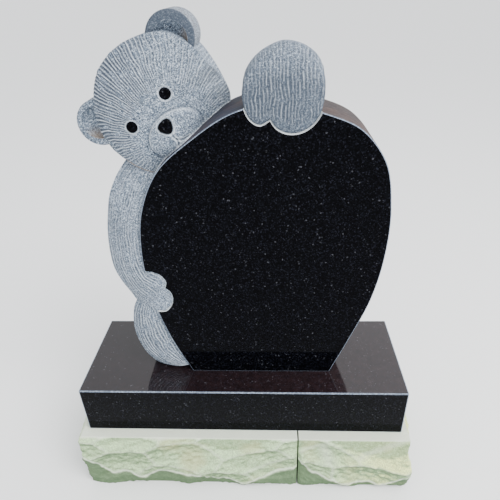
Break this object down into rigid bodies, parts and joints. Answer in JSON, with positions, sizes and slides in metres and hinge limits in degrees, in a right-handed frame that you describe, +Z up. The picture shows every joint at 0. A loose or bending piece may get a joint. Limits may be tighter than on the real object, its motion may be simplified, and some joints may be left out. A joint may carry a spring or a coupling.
{
  "type": "carved bear headstone",
  "caption": "Upright granite headstone on a polished base and split-faced footing, a carved teddy bear peeking round and hugging its rounded tablet.",
  "frame": {"origin": "on the ground, under the middle of the polished base", "axes": "+Z up, +X to the right as one faces the tablet, +Y towards the back, so the front faces -Y"},
  "size_m": [0.999, 0.4175, 1.2977],
  "materials": {
    "black_granite": "polished",
    "base_granite": "polished",
    "carved_granite": "carved matt",
    "sandstone": "split rock face, sawn top"
  },
  "bodies": {
    "root": {"Headstone": "black_granite", "Base": "base_granite", "Footing_block_left": "sandstone", "Footing_block_right": "sandstone"}
  },
  "joints": []
}
